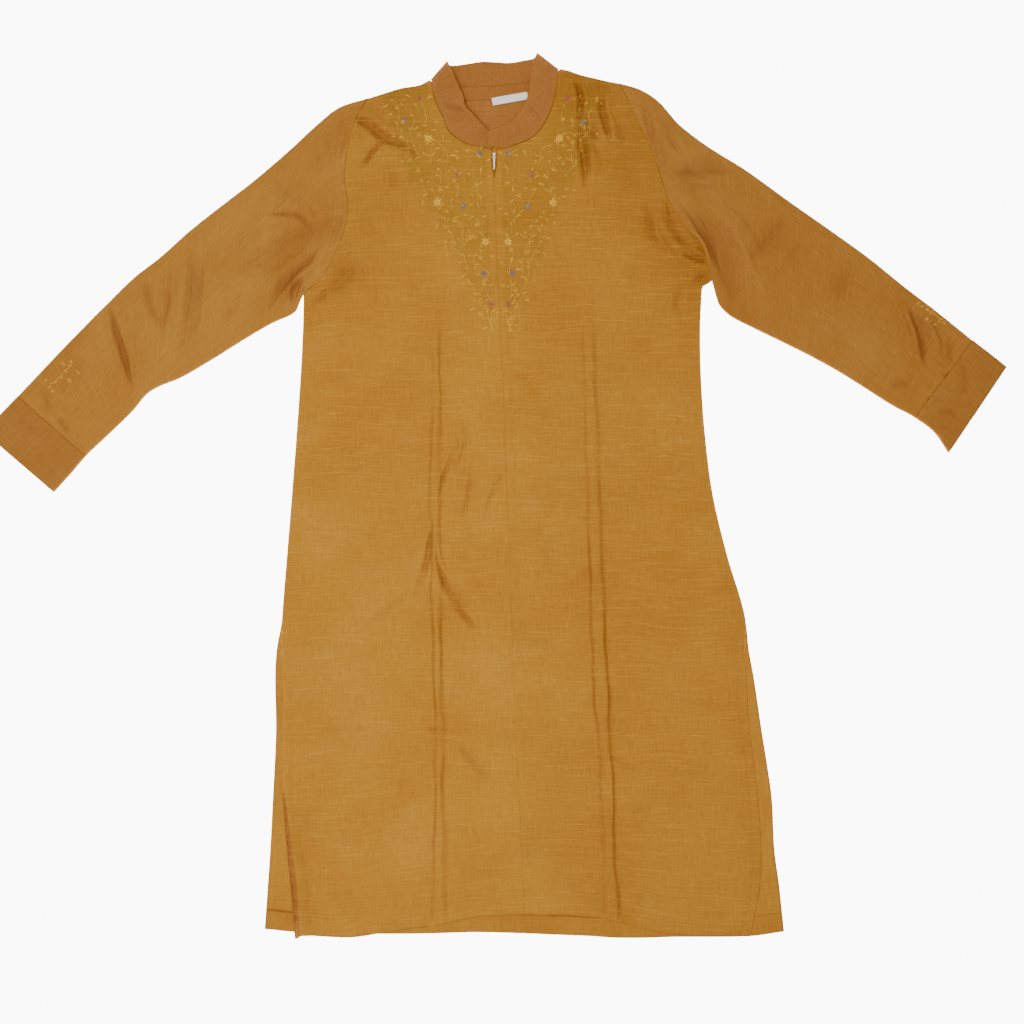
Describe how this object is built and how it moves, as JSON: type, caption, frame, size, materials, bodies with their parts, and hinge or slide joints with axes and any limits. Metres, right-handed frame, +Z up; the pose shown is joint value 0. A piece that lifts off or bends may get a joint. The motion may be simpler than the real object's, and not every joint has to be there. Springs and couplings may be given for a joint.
{
  "type": "kurta tunic",
  "caption": "Knee-length kurta tunic laid flat, with a stand collar, long cuffed sleeves, side slits and a concealed front zip with a turning pull tab.",
  "frame": {"origin": "under the middle of the back panel, on the surface that the tunic lies on", "axes": "+X to the viewer's right across the sleeves, +Y from the hem to the collar, +Z up through the layers"},
  "size_m": [1.278, 1.1044, 0.0135],
  "materials": {
    "slub_cotton": "matte",
    "collar_cotton": "matte",
    "zip_tape": "matte",
    "label": "satin",
    "zip_metal": "polished"
  },
  "bodies": {
    "garment": {"back_panel": "slub_cotton", "front_left": "slub_cotton", "front_right": "slub_cotton", "sleeve_left": "slub_cotton", "sleeve_right": "slub_cotton", "cuff_left": "slub_cotton", "cuff_right": "slub_cotton", "collar_band": "collar_cotton", "neck_tape": "collar_cotton", "neck_label": "label", "zip_tape_left": "zip_tape", "zip_tape_right": "zip_tape", "zip_slider": "zip_metal"},
    "pull": {"zip_pull": "zip_metal"}
  },
  "joints": [
    {"name": "zip_pull_hinge", "type": "hinge", "parent": "garment", "child": "pull", "pos_m": [-0.0223, 0.446, 0.007], "axis": [-1, 0, 0], "range_deg": [0, 160]}
  ]
}
